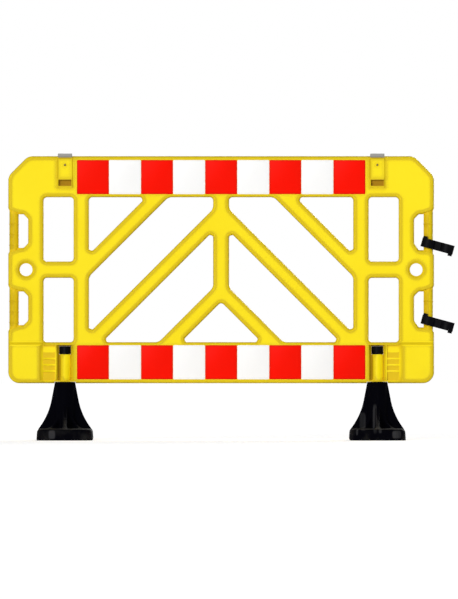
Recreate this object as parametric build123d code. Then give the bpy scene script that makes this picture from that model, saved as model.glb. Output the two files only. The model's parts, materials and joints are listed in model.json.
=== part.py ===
from build123d import *
from math import cos, radians, tan
import os

# Plastic barricade: a moulded lattice panel on two swivelling feet, with a pair of links on its right edge.
# Millimetres. X runs along the panel, the front face looks to -Y, and Z = 0 is the ground.

# Panel moulding
PANEL_WIDTH = 1500.0
PANEL_HEIGHT = 800.0
PANEL_THICKNESS = 46.0
GROUND_CLEARANCE = 200.0
DRAFT_ANGLE = 3.0
EDGE_BREAK = 6.0
EDGE_SOFTENING = 2.4
TOP_CORNER_CUT = 70.0
TOP_CORNER_ROUND = 40.0
BOTTOM_CORNER_ROUND = 40.0

# Rails, columns and posts of the panel
RAIL_HEIGHT = 145.0
SIDE_COLUMN = 125.0
SIDE_WINDOW_WIDTH = 105.0
MIDDLE_BAR = 58.0
INNER_POST = 55.0
CENTRE_POST = 57.0

# Chevron braces between the inner posts, and the cut corners of the windows they leave
BRACE_WIDTH = 56.0
BRACE_ANGLE = 45.0
BRACE_PITCH = 277.2
BRACE_COUNT = 3
FIRST_APEX = 325.7
ACUTE_CORNER_CUT = 17.0
ACUTE_LIMIT = 60.0
CORNER_CUT = 7.0
LARGEST_CUT_SHARE = 0.4

# Hand holes with a round bar at the panel's outer edge, and the round hole between them
GRIP_OFFSET = 136.0
GRIP_REACH = 70.0
GRIP_LENGTH = 118.0
GRIP_INNER_LENGTH = 86.0
LINK_LEDGE_DROP = 8.0
GRIP_SHOULDER_LENGTH = 162.0
GRIP_SHOULDER_RUN = 10.0
GRIP_SHOULDER_DEPTH = 11.0
BAR_DIAMETER = 33.0
BAR_INSET = 4.0
ROUND_HOLE_DIAMETER = 45.0
ROUND_HOLE_INSET = 63.0
ROUND_HOLE_LIP = 7.0

# Reflective sheeting in shallow recesses on both faces of both rails
SHEET_END_GAP = 42.0
SHEET_OUTER_MARGIN = 13.5
SHEET_INNER_MARGIN = 10.5
SHEET_THICKNESS = 0.6
SHEET_RECESS = 1.0
SHEET_CLEARANCE = 0.4
TILE_COUNT = 9

# Foot sockets in the bottom rail
SOCKET_INSET = 200.0
SOCKET_RECESS_WIDTH = 60.0
SOCKET_RECESS_DEPTH = 15.0
SOCKET_RECESS_SLOPE = 8.0
SOCKET_MARGIN = 10.0
SOCKET_WALL = 4.4
SOCKET_TUBE_HEIGHT = 102.0
SOCKET_BOSS = 1.0
FOOT_NOTCH_RISE = 6.0
FOOT_NOTCH_GAP = 3.0

# Ribbed recess and groove beside each foot socket
RIB_RECESS_GAP = 4.0
RIB_RECESS_WIDTH = 43.0
RIB_RECESS_DEPTH = 8.0
RIB_RECESS_SLOPE = 13.0
RIB_COUNT = 3
RIB_PITCH = 22.0
RIB_THICKNESS = 6.0
RIB_RISE = 5.0
FIRST_RIB = 33.0
GROOVE_WIDTH = 14.0
GROOVE_DEPTH = 3.0

# Lamp sockets in the top rail: a raised pad, a flanged sleeve in it, and a screw that holds the sleeve
LAMP_PAD_WALL = 7.0
LAMP_PAD_RISE = 4.0
LAMP_SEAT_DROP = 5.0
LAMP_PAD_CHAMFER = 3.5
LAMP_PAD_FOOT = 6.0
LAMP_POCKET_MARGIN = 5.0
LAMP_POCKET_HEIGHT = 22.0
LAMP_POCKET_DEPTH = 17.0
LAMP_POCKET_GAP = 13.7
LAMP_SLEEVE_WIDTH = 42.0
LAMP_SLEEVE_DEPTH = 30.0
LAMP_SLEEVE_LENGTH = 64.0
LAMP_SLEEVE_CLEARANCE = 0.3
LAMP_FLANGE_OVERHANG = 4.0
LAMP_FLANGE_HEIGHT = 14.0
LAMP_FLANGE_ROUND = 4.0
LAMP_BORE_DIAMETER = 22.0
SCREW_HEAD_DIAMETER = 8.0
SCREW_HEAD_HEIGHT = 2.5
SCREW_DIAMETER = 5.0
SCREW_BITE = 3.0
SCREW_DROP = 26.0
SCREW_CLEARANCE = 0.2

# Feet, their spindles and the caps that hold them in the sockets
FOOT_WIDTH = 198.0
FOOT_LENGTH = 480.0
FOOT_BASE_HEIGHT = 40.0
FOOT_BASE_DRAFT = 4.0
FOOT_BASE_CHAMFER = 6.0
FOOT_CORNER_ROUND = 50.0
FOOT_HUB_DIAMETER = 71.0
FOOT_SEAT_GAP = 0.3
WEB_THICKNESS = 14.0
SIDE_WEB_MARGIN = 5.0
SIDE_WEB_NECK = 65.0
SIDE_WEB_LEAN = 11.0
END_WEB_MARGIN = 24.0
END_WEB_HEIGHT = 126.0
SKEW_WEB_HEIGHT = 96.0
SKEW_WEB_ANGLE = 45.0
SPINDLE_DIAMETER = 34.0
SPINDLE_FLOOR = 50.0
SPINDLE_RUNNING_GAP = 0.1
SPINDLE_FIT_GAP = 0.02
CAP_WALL = 3.0
CAP_HEIGHT = 24.0
CAP_CROWN = 8.0
CAP_HEADROOM = 4.5
CAP_LIFT = 0.5
CAP_CLEARANCE = 0.6

# Links that hook this barricade to its neighbour
LINK_TILT = 15.0
LINK_HEIGHT = 32.0
LINK_PITCH = 68.0
LINK_WALL = 8.0
LINK_MOUTH = 28.0
LINK_WEB = 36.0
LINK_LIP = 7.0
LINK_LIP_INSET = 1.5
LINK_LIP_START = 8.0
LINK_TIP_ROUND = 2.5
LINK_PLAY = 0.3

# Sizes and places that follow from those above
SIDES = (-1, 1)
HALF_WIDTH = PANEL_WIDTH / 2
HALF_THICKNESS = PANEL_THICKNESS / 2
PANEL_BOTTOM = GROUND_CLEARANCE
PANEL_TOP = PANEL_BOTTOM + PANEL_HEIGHT
PANEL_MIDDLE = PANEL_BOTTOM + PANEL_HEIGHT / 2
FIELD_BOTTOM = PANEL_BOTTOM + RAIL_HEIGHT
FIELD_TOP = PANEL_TOP - RAIL_HEIGHT
WINDOW_OUTER = HALF_WIDTH - SIDE_COLUMN
WINDOW_INNER = WINDOW_OUTER - SIDE_WINDOW_WIDTH
FIELD_HALF = WINDOW_INNER - INNER_POST
BAR_AXIS = HALF_WIDTH - BAR_INSET - BAR_DIAMETER / 2
GRIP_HEIGHTS = (PANEL_MIDDLE + GRIP_OFFSET, PANEL_MIDDLE - GRIP_OFFSET)
SOCKET_OFFSET = HALF_WIDTH - SOCKET_INSET
SOCKET_RECESS_HEIGHT = RAIL_HEIGHT - 2 * SOCKET_MARGIN
SOCKET_SEAT = PANEL_BOTTOM + FOOT_NOTCH_RISE - SOCKET_BOSS
SOCKET_TOP = PANEL_BOTTOM + SOCKET_TUBE_HEIGHT
SOCKET_BORE = SPINDLE_DIAMETER / 2 + SPINDLE_RUNNING_GAP
SHEET_LENGTH = 2 * (SOCKET_OFFSET - SHEET_END_GAP)
SHEET_HEIGHT = RAIL_HEIGHT - SHEET_OUTER_MARGIN - SHEET_INNER_MARGIN
TOP_BAND = PANEL_TOP - SHEET_OUTER_MARGIN - SHEET_HEIGHT / 2
BOTTOM_BAND = PANEL_BOTTOM + SHEET_OUTER_MARGIN + SHEET_HEIGHT / 2
LAMP_SEAT = PANEL_TOP - LAMP_SEAT_DROP
LAMP_FACE = HALF_THICKNESS + LAMP_PAD_RISE
LAMP_PAD_WIDTH = LAMP_SLEEVE_WIDTH + 2 * LAMP_PAD_WALL
LAMP_FLANGE_WIDTH = LAMP_SLEEVE_WIDTH + 2 * LAMP_FLANGE_OVERHANG
LAMP_FLANGE_DEPTH = LAMP_SLEEVE_DEPTH + 2 * LAMP_FLANGE_OVERHANG
LAMP_SLOT_DEPTH = LAMP_SLEEVE_LENGTH + LAMP_SLEEVE_CLEARANCE
LAMP_POCKET_DROP = LAMP_SLOT_DEPTH + LAMP_POCKET_GAP
LAMP_PAD_HEIGHT = LAMP_POCKET_DROP + LAMP_POCKET_HEIGHT + LAMP_PAD_FOOT
SCREW_LENGTH = LAMP_FACE - LAMP_SLEEVE_DEPTH / 2 + SCREW_BITE
FOOT_SEAT = SOCKET_SEAT - FOOT_SEAT_GAP
SPINDLE_HOLE = SPINDLE_DIAMETER / 2 + SPINDLE_FIT_GAP
CAP_DIAMETER = SPINDLE_DIAMETER + 2 * CAP_WALL
CAP_BOTTOM = SOCKET_TOP + CAP_LIFT
TILT = radians(LINK_TILT)
JAW_BORE = BAR_DIAMETER / 2 / cos(TILT) + LINK_HEIGHT / 2 * tan(TILT) + LINK_PLAY
JAW_OUTER = JAW_BORE + LINK_WALL


def polygon(points):
    """A flat face bounded by straight lines through the points."""
    return make_face(Polyline(*points, close=True))


def chevron(apex):
    """One inverted V of brace, wider than the braced field and centred on the panel."""
    rise = BRACE_WIDTH / 2 / cos(radians(BRACE_ANGLE))
    reach = 2 * FIELD_HALF
    foot_height = apex - reach * tan(radians(BRACE_ANGLE))
    lower = [(-reach, foot_height - rise), (0, apex - rise), (reach, foot_height - rise)]
    upper = [(reach, foot_height + rise), (0, apex + rise), (-reach, foot_height + rise)]
    return polygon(lower + upper)


def blunted(window):
    """A window outline with its corners cut, the acute ones further than the others."""
    corners = [edge @ 0 for edge in window.outer_wire().order_edges()]
    following = corners[1:] + corners[:1]
    preceding = corners[-1:] + corners[:-1]
    points = []
    for corner, before, after in zip(corners, preceding, following):
        arms = (before - corner, after - corner)
        cut = ACUTE_CORNER_CUT if arms[0].get_angle(arms[1]) < ACUTE_LIMIT else CORNER_CUT
        for arm in arms:
            points.append(corner + arm.normalized() * min(cut, LARGEST_CUT_SHARE * arm.length))
    return polygon(points)


def braced_windows():
    """The open shapes left between the rails, inner posts, braces and centre post."""
    field = Pos(0, PANEL_MIDDLE) * Rectangle(2 * FIELD_HALF, FIELD_TOP - FIELD_BOTTOM)
    lowest = PANEL_BOTTOM + FIRST_APEX
    for row in range(BRACE_COUNT):
        field -= chevron(lowest + row * BRACE_PITCH)
    field -= Pos(0, (lowest + FIELD_TOP) / 2) * Rectangle(CENTRE_POST, FIELD_TOP - lowest)
    return [blunted(face) for face in field.faces()]


def side_windows():
    """Four upright windows between the inner posts and the side columns."""
    height = (FIELD_TOP - FIELD_BOTTOM - MIDDLE_BAR) / 2
    shift = (height + MIDDLE_BAR) / 2
    centre = (WINDOW_OUTER + WINDOW_INNER) / 2
    window = blunted(Rectangle(SIDE_WINDOW_WIDTH, height).face())
    return [Pos(side * centre, PANEL_MIDDLE + lift) * window for side in SIDES for lift in (-shift, shift)]


def ledge(side):
    """How far below a hand hole's middle its lower end lies: further on the right, where a link rests."""
    return GRIP_LENGTH / 2 + (LINK_LEDGE_DROP if side > 0 else 0)


def hand_hole(side, height):
    """The outline of one hand hole, open at the panel's outer edge."""
    outer = side * (HALF_WIDTH + BAR_INSET)
    inner = side * (HALF_WIDTH - GRIP_REACH)
    slope = side * (GRIP_LENGTH - GRIP_INNER_LENGTH) / 2
    upper = [(outer, GRIP_LENGTH / 2), (inner + slope, GRIP_LENGTH / 2), (inner, GRIP_INNER_LENGTH / 2)]
    lower = [(inner, -GRIP_INNER_LENGTH / 2), (inner + slope, -ledge(side)), (outer, -ledge(side))]
    return Pos(0, height) * polygon(upper + lower)


def shoulders(side, height):
    """The dent in the panel's outer edge at a hand hole, with its sloping shoulders."""
    outer = side * (HALF_WIDTH + GRIP_SHOULDER_RUN)
    inner = side * (HALF_WIDTH - GRIP_SHOULDER_RUN)
    mouth = GRIP_SHOULDER_LENGTH - GRIP_LENGTH / 2
    points = [(outer, mouth), (inner, GRIP_LENGTH / 2), (inner, -ledge(side)), (outer, -mouth)]
    return Pos(0, height) * polygon(points)


def shoulder_pockets(side, height):
    """The sloping pockets in the face of the flat-lying half where an edge bar runs into the panel."""
    outer = side * (HALF_WIDTH + GRIP_SHOULDER_RUN)
    inner = side * (HALF_WIDTH - GRIP_REACH + (GRIP_LENGTH - GRIP_INNER_LENGTH) / 2)
    reach = GRIP_SHOULDER_LENGTH / 2
    pockets = []
    for end, start in ((1, GRIP_LENGTH / 2), (-1, ledge(side))):
        corner = [(inner, 0), (inner, end * start), (outer, end * reach), (outer, 0)]
        flat = Pos(0, height, HALF_THICKNESS) * polygon(corner)
        pockets.append(extrude(flat, -GRIP_SHOULDER_DEPTH))
    return pockets


def outline():
    """The panel's outer edge, with cut top corners and round bottom corners."""
    sheet = (Pos(0, PANEL_MIDDLE) * Rectangle(PANEL_WIDTH, PANEL_HEIGHT)).face()
    top = sheet.vertices().group_by(Axis.Y)[-1]
    sheet = sheet.chamfer_2d(TOP_CORNER_CUT, TOP_CORNER_CUT, top)
    bottom = sheet.vertices().group_by(Axis.Y)[0]
    sheet = sheet.fillet_2d(BOTTOM_CORNER_ROUND, bottom)
    top = sheet.vertices().filter_by_position(Axis.Y, PANEL_MIDDLE, PANEL_TOP)
    return Sketch() + sheet.fillet_2d(TOP_CORNER_ROUND, top)


def tapered_window(window):
    """A cutter that narrows from a window's size at the face to its size at the parting plane."""
    widening = HALF_THICKNESS * tan(radians(DRAFT_ANGLE))
    at_face = offset(Sketch() + window, widening, kind=Kind.INTERSECTION)
    cutter = extrude(at_face, HALF_THICKNESS, taper=DRAFT_ANGLE)
    return Pos(0, 0, HALF_THICKNESS) * mirror(cutter, about=Plane.XY)


def softened(half):
    """The flat-lying half with its face edges broken in three flats, as a moulded round."""
    half = chamfer(half.faces().sort_by(Axis.Z)[-1].edges(), EDGE_BREAK)
    levels = half.edges().group_by(Axis.Z)
    return chamfer(levels[-1] + levels[-3], EDGE_SOFTENING)


def sheet_pocket(centre):
    """The shallow pocket for one strip of sheeting in the face of the flat-lying half."""
    return Pos(0, centre, HALF_THICKNESS) * Box(SHEET_LENGTH, SHEET_HEIGHT, 2 * SHEET_RECESS)


def upright_recess(profile):
    """A recess of the foot socket's height in the flat-lying half, cut to a profile across the panel."""
    low = PANEL_BOTTOM + SOCKET_MARGIN
    section = Plane((0, low, 0), x_dir=(1, 0, 0), z_dir=(0, -1, 0)) * polygon(profile)
    return extrude(section, -SOCKET_RECESS_HEIGHT)


def socket_recess(side):
    """The recess around a foot socket's tube, its side walls sloped."""
    centre = side * SOCKET_OFFSET
    mouth = SOCKET_RECESS_WIDTH / 2
    bed = mouth - SOCKET_RECESS_SLOPE
    floor = HALF_THICKNESS - SOCKET_RECESS_DEPTH
    profile = [
        (centre - mouth, HALF_THICKNESS),
        (centre - bed, floor),
        (centre + bed, floor),
        (centre + mouth, HALF_THICKNESS),
    ]
    return upright_recess(profile)


def ribbed_recess(side):
    """The recess outboard of a foot socket, with its sloped outer wall and cross ribs left standing."""
    inner = SOCKET_OFFSET + SOCKET_RECESS_WIDTH / 2 + RIB_RECESS_GAP
    reach = RIB_RECESS_WIDTH + RIB_RECESS_SLOPE
    floor = HALF_THICKNESS - RIB_RECESS_DEPTH
    profile = [
        (inner, HALF_THICKNESS),
        (inner, floor),
        (inner + RIB_RECESS_WIDTH, floor),
        (inner + reach, HALF_THICKNESS),
    ]
    recess = upright_recess(profile)
    for rib in range(RIB_COUNT):
        height = PANEL_BOTTOM + SOCKET_MARGIN + FIRST_RIB + rib * RIB_PITCH
        recess -= Pos(inner + reach / 2, height, floor) * Box(reach, RIB_THICKNESS, 2 * RIB_RISE)
    return recess if side > 0 else mirror(recess, about=Plane.YZ)


def corner_groove(side):
    """The shallow V groove between a side column and the block at its foot."""
    points = [(-GROOVE_WIDTH / 2, 0), (0, -GROOVE_DEPTH), (GROOVE_WIDTH / 2, 0)]
    section = Plane((side * WINDOW_OUTER, 0, 0), x_dir=(0, 1, 0), z_dir=(1, 0, 0)) * polygon(points)
    groove = extrude(section, side * (SIDE_COLUMN + GROOVE_WIDTH))
    return Pos(0, FIELD_BOTTOM - GROOVE_WIDTH / 2, HALF_THICKNESS) * groove


def panel_half():
    """The front half of the moulding, lying on its parting plane."""
    openings = braced_windows() + side_windows()
    for side in SIDES:
        for height in GRIP_HEIGHTS:
            openings += [hand_hole(side, height), shoulders(side, height)]
    half = extrude(outline(), HALF_THICKNESS, taper=DRAFT_ANGLE)
    for opening in openings:
        half -= tapered_window(opening)
    half = softened(half)
    for centre in (TOP_BAND, BOTTOM_BAND):
        half -= sheet_pocket(centre)
    for side in SIDES:
        half -= socket_recess(side)
        half -= ribbed_recess(side)
        half -= corner_groove(side)
        for height in GRIP_HEIGHTS:
            half -= shoulder_pockets(side, height)
    return half


def edge_bar(side, height):
    """The round bar that closes a hand hole and runs into the panel above and below."""
    bar = Cylinder(BAR_DIAMETER / 2, GRIP_SHOULDER_LENGTH)
    return Pos(side * BAR_AXIS, 0, height) * bar


def round_hole(side):
    """The round hole between two hand holes, flared at both faces."""
    radius = ROUND_HOLE_DIAMETER / 2
    hole = Cylinder(radius, PANEL_THICKNESS)
    lip = Cone(radius, radius + ROUND_HOLE_LIP, ROUND_HOLE_LIP)
    for turn in (0, 180):
        hole += Rot(turn, 0, 0) * Pos(0, 0, HALF_THICKNESS - ROUND_HOLE_LIP / 2) * lip
    return Pos(side * (HALF_WIDTH - ROUND_HOLE_INSET), 0, PANEL_MIDDLE) * Rot(90, 0, 0) * hole


def lamp_pad(side):
    """The raised block that carries a lamp socket, on both faces of the top rail."""
    pad = Box(LAMP_PAD_WIDTH, 2 * LAMP_FACE, LAMP_PAD_HEIGHT)
    pad = chamfer(pad.edges().filter_by(Axis.Z), LAMP_PAD_CHAMFER)
    return Pos(side * SOCKET_OFFSET, 0, LAMP_SEAT - LAMP_PAD_HEIGHT / 2) * pad


def screw_hole():
    """The hole for a lamp screw, along Y from the front face of a lamp pad."""
    reach = SCREW_LENGTH + SCREW_CLEARANCE
    hole = Cylinder(SCREW_DIAMETER / 2 + SCREW_CLEARANCE, 2 * reach, rotation=(90, 0, 0))
    return Pos(0, -LAMP_FACE, LAMP_SEAT - SCREW_DROP) * hole


def lamp_cuts(side):
    """The seat and slot for the lamp sleeve, the pockets under it and the screw hole."""
    gap = 2 * LAMP_SLEEVE_CLEARANCE
    slot = Box(LAMP_SLEEVE_WIDTH + gap, LAMP_SLEEVE_DEPTH + gap, 2 * LAMP_SLOT_DEPTH)
    seat = Box(LAMP_FLANGE_WIDTH + gap, 2 * LAMP_FACE, 2 * LAMP_SEAT_DROP)
    cuts = Pos(0, 0, LAMP_SEAT) * slot + Pos(0, 0, PANEL_TOP) * seat + screw_hole()
    pocket = Box(LAMP_PAD_WIDTH - 2 * LAMP_POCKET_MARGIN, 2 * LAMP_POCKET_DEPTH, LAMP_POCKET_HEIGHT)
    height = LAMP_SEAT - LAMP_POCKET_DROP - LAMP_POCKET_HEIGHT / 2
    for front in SIDES:
        cuts += Pos(0, front * LAMP_FACE, height) * pocket
    return Pos(side * SOCKET_OFFSET, 0, 0) * cuts


def foot_notch(side):
    """The shallow notch in the panel's lower edge that a foot's hub turns in."""
    notch = Box(FOOT_HUB_DIAMETER + 2 * FOOT_NOTCH_GAP, PANEL_THICKNESS, 2 * FOOT_NOTCH_RISE)
    return Pos(side * SOCKET_OFFSET, 0, PANEL_BOTTOM) * notch


def foot_socket(side):
    """The round tube that a foot's spindle turns in."""
    height = SOCKET_TOP - SOCKET_SEAT
    tube = Cylinder(SOCKET_BORE + SOCKET_WALL, height)
    return Pos(side * SOCKET_OFFSET, 0, SOCKET_SEAT + height / 2) * tube


def foot_socket_cuts(side):
    """The bore through the tube and the window above it, where the cap sits."""
    bore = Cylinder(SOCKET_BORE, 2 * SOCKET_TUBE_HEIGHT)
    room = CAP_LIFT + CAP_HEIGHT + CAP_HEADROOM
    window = Box(CAP_DIAMETER + 2 * CAP_CLEARANCE, PANEL_THICKNESS, room)
    cuts = Pos(0, 0, PANEL_BOTTOM) * bore + Pos(0, 0, SOCKET_TOP + room / 2) * window
    return Pos(side * SOCKET_OFFSET, 0, 0) * cuts


def panel():
    """The whole moulding: two halves, edge bars, lamp pads and foot sockets."""
    front = Rot(90, 0, 0) * panel_half()
    body = front + mirror(front, about=Plane.XZ)
    for side in SIDES:
        for height in GRIP_HEIGHTS:
            body += edge_bar(side, height)
        body -= round_hole(side)
        body += lamp_pad(side)
        body -= foot_notch(side)
        body += foot_socket(side)
        body -= lamp_cuts(side)
        body -= foot_socket_cuts(side)
    return body


def sheeting(face, centre, first):
    """Every second tile of one strip of reflective sheeting, from tile number first."""
    pitch = SHEET_LENGTH / TILE_COUNT
    tile = Box(pitch - SHEET_CLEARANCE, SHEET_THICKNESS, SHEET_HEIGHT - 2 * SHEET_CLEARANCE)
    depth = HALF_THICKNESS - SHEET_RECESS + SHEET_THICKNESS / 2
    start = (pitch - SHEET_LENGTH) / 2
    places = [start + number * pitch for number in range(first, TILE_COUNT, 2)]
    return Compound([Pos(x, face * depth, centre) * tile for x in places])


def lamp_sleeve():
    """The black sleeve that a warning lamp's stem drops into, hanging by its flange."""
    body = Box(LAMP_SLEEVE_WIDTH, LAMP_SLEEVE_DEPTH, LAMP_SLEEVE_LENGTH)
    flange = Box(LAMP_FLANGE_WIDTH, LAMP_FLANGE_DEPTH, LAMP_FLANGE_HEIGHT)
    flange = fillet(flange.edges().filter_by(Axis.Z), LAMP_FLANGE_ROUND)
    sleeve = Pos(0, 0, -LAMP_SLEEVE_LENGTH / 2) * body + Pos(0, 0, LAMP_FLANGE_HEIGHT / 2) * flange
    sleeve -= Cylinder(LAMP_BORE_DIAMETER / 2, 2 * (LAMP_SLEEVE_LENGTH + LAMP_FLANGE_HEIGHT))
    return Pos(0, 0, LAMP_SEAT) * sleeve - screw_hole()


def lamp_screw():
    """The screw through the front of a lamp pad into its sleeve, with a flat round head."""
    head = Cylinder(SCREW_HEAD_DIAMETER / 2, SCREW_HEAD_HEIGHT, rotation=(90, 0, 0))
    shank = Cylinder(SCREW_DIAMETER / 2, SCREW_LENGTH, rotation=(90, 0, 0))
    screw = Pos(0, -SCREW_HEAD_HEIGHT / 2, 0) * head + Pos(0, SCREW_LENGTH / 2, 0) * shank
    return Pos(0, -LAMP_FACE, LAMP_SEAT - SCREW_DROP) * screw


def web(crest, reach, top):
    """An upright web of the foot, from the hub's axis out to its reach, below a crest line."""
    low = FOOT_BASE_HEIGHT / 2
    hub = FOOT_HUB_DIAMETER / 2
    skirt = Polyline((reach, FOOT_BASE_HEIGHT), (reach, low), (0, low), (0, top), (hub, top))
    return extrude(Plane.XZ * make_face(crest + [skirt]), WEB_THICKNESS / 2, both=True)


def side_web():
    """A web across the foot, leaning out from the hub's full height and then sweeping to the base."""
    reach = FOOT_WIDTH / 2 - SIDE_WEB_MARGIN
    lean = tan(radians(SIDE_WEB_LEAN))
    shoulder = (FOOT_HUB_DIAMETER / 2, FOOT_SEAT)
    knee = (FOOT_HUB_DIAMETER / 2 + SIDE_WEB_NECK * lean, FOOT_SEAT - SIDE_WEB_NECK)
    sweep = TangentArc(knee, (reach, FOOT_BASE_HEIGHT), tangent=(lean, -1))
    return web([Line(shoulder, knee), sweep], reach, FOOT_SEAT)


def low_web(reach, top):
    """A lower web, falling from the hub in a hollow curve that runs out level on the base."""
    sweep = TangentArc((reach, FOOT_BASE_HEIGHT), (FOOT_HUB_DIAMETER / 2, top), tangent=(-1, 0))
    return web([sweep], reach, top)


def foot():
    """One foot: a broad base, a round hub with a blind hole, and webs between them."""
    plan = RectangleRounded(FOOT_WIDTH, FOOT_LENGTH, FOOT_CORNER_ROUND)
    base = extrude(plan, FOOT_BASE_HEIGHT, taper=FOOT_BASE_DRAFT)
    base = chamfer(base.faces().sort_by(Axis.Z)[-1].edges(), FOOT_BASE_CHAMFER)
    body = base + Pos(0, 0, FOOT_SEAT / 2) * Cylinder(FOOT_HUB_DIAMETER / 2, FOOT_SEAT)
    end_web = low_web(FOOT_LENGTH / 2 - END_WEB_MARGIN, END_WEB_HEIGHT)
    skew_web = low_web(FOOT_WIDTH / 2, SKEW_WEB_HEIGHT)
    for turn in (0, 180):
        body += Rot(0, 0, turn) * side_web()
        body += Rot(0, 0, turn + 90) * end_web
        for skew in SIDES:
            body += Rot(0, 0, turn + skew * SKEW_WEB_ANGLE) * skew_web
    hole = Cylinder(SPINDLE_HOLE, 2 * (FOOT_SEAT - SPINDLE_FLOOR))
    return body - Pos(0, 0, FOOT_SEAT) * hole


def spindle():
    """The round post pressed into a foot, which turns in the panel's socket."""
    height = CAP_BOTTOM + CAP_HEIGHT - CAP_CROWN - SPINDLE_FLOOR
    return Pos(0, 0, SPINDLE_FLOOR + height / 2) * Cylinder(SPINDLE_DIAMETER / 2, height)


def retaining_cap():
    """The cap pressed on a spindle's upper end, which keeps the foot in its socket."""
    cap = Cylinder(CAP_DIAMETER / 2, CAP_HEIGHT)
    cap -= Pos(0, 0, -CAP_CROWN) * Cylinder(SPINDLE_HOLE, CAP_HEIGHT)
    return Pos(0, 0, CAP_BOTTOM + CAP_HEIGHT / 2) * cap


def jaw_lip():
    """The raised tips of one jaw, standing on the link's upper face."""
    inner = JAW_BORE + LINK_LIP_INSET
    outer = JAW_OUTER - LINK_LIP_INSET
    tips = Circle(outer) - Circle(inner)
    tips -= Pos(-outer / 2, 0) * Rectangle(outer, LINK_MOUTH + 2 * LINK_TIP_ROUND)
    tips &= Pos(-LINK_LIP_START - outer / 2, 0) * Rectangle(outer, 2 * outer)
    return Pos(0, 0, LINK_HEIGHT / 2 - LINK_LIP) * extrude(tips, 2 * LINK_LIP)


def link():
    """A link with a snap jaw at each end, its near jaw's axis at the origin."""
    far = Pos(LINK_PITCH, 0)
    mouth = Pos(-JAW_OUTER / 2, 0) * Rectangle(JAW_OUTER, LINK_MOUTH)
    plan = Circle(JAW_OUTER) + far * Circle(JAW_OUTER)
    plan += Pos(LINK_PITCH / 2, 0) * Rectangle(LINK_PITCH, LINK_WEB)
    plan -= Circle(JAW_BORE) + mouth
    plan -= far * Circle(JAW_BORE) + far * Rot(0, 0, 180) * mouth
    body = extrude(fillet(plan.vertices(), LINK_TIP_ROUND), LINK_HEIGHT / 2, both=True)
    return body + jaw_lip() + Pos(LINK_PITCH, 0, 0) * Rot(0, 180, 0) * jaw_lip()


def placed_link(height):
    """A link hanging on the right edge bar, its far end sunk as far as its loose jaw lets it."""
    drop = LINK_HEIGHT / 2 / cos(TILT) + HALF_THICKNESS * tan(TILT)
    seat = height - ledge(1) + LINK_PLAY
    return Pos(BAR_AXIS, 0, seat + drop) * Rot(0, LINK_TILT, 0) * link()


def save(shape, node):
    """Write one node's solids."""
    export_step(shape, f"parts/{node}.step")


os.makedirs("parts", exist_ok=True)
save(panel(), "panel")

for rail, centre in (("top", TOP_BAND), ("bottom", BOTTOM_BAND)):
    for name, face in (("front", -1), ("rear", 1)):
        save(sheeting(face, centre, 0), f"{name}_{rail}_red_sheeting")
        save(sheeting(face, centre, 1), f"{name}_{rail}_white_sheeting")

for name, side in (("left", -1), ("right", 1)):
    place = Pos(side * SOCKET_OFFSET, 0, 0)
    save(place * foot(), f"{name}_foot")
    save(place * spindle(), f"{name}_foot_spindle")
    save(place * retaining_cap(), f"{name}_retaining_cap")
    save(place * lamp_sleeve(), f"{name}_lamp_sleeve")
    save(place * lamp_screw(), f"{name}_lamp_screw")

for name, height in zip(("upper", "lower"), GRIP_HEIGHTS):
    save(placed_link(height), f"{name}_link")
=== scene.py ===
"""Dresses the plastic barricade: moulded panel, reflective tiles, rubber feet, lamp sockets and links.

Metres. X runs along the panel, the front looks to -Y, and Z = 0 is the ground, as in the solids.
"""

import json
import logging
from collections.abc import Callable, Iterable, Iterator
from dataclasses import dataclass
from enum import Enum
from math import cos, pi, radians, sqrt, tau
from operator import attrgetter
from typing import Any

import bmesh
import bpy
from bmesh.types import BMEdge, BMesh, BMFace, BMVert
from bpy.types import Material, Node, NodeSocket, NodeTree, Object
from mathutils import Matrix, Vector

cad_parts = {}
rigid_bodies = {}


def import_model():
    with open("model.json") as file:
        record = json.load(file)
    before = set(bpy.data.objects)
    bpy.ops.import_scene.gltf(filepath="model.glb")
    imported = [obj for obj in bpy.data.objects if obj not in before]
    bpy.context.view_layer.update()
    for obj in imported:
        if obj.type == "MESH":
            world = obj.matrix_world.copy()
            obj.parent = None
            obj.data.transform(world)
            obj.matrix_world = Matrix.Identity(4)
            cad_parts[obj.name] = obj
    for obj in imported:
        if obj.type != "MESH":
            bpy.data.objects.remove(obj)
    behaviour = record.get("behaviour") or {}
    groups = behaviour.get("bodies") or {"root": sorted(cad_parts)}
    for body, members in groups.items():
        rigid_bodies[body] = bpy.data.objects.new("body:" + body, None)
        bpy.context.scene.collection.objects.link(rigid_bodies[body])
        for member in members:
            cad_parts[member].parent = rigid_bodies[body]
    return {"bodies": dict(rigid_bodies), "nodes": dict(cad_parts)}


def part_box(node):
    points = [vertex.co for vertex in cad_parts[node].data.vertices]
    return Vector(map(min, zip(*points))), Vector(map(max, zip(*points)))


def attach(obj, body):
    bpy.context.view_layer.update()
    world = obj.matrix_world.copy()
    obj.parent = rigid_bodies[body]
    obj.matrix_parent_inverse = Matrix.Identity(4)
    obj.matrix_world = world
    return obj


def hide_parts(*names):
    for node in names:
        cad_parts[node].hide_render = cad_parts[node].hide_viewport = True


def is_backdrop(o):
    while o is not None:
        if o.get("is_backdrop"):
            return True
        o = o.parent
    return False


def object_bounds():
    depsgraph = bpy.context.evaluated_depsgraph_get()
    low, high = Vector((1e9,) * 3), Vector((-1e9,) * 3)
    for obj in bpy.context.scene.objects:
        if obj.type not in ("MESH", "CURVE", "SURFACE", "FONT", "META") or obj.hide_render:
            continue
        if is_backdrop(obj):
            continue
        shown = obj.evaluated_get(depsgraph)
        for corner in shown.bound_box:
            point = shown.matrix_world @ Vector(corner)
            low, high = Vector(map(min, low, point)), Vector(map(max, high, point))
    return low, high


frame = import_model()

LOG = logging.getLogger("barricade")
MERGE_DISTANCE = 2e-6
NEAR = 1e-4
FLAT_LIMIT = radians(0.4)
SOFT_CREASE = radians(40)
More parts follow.
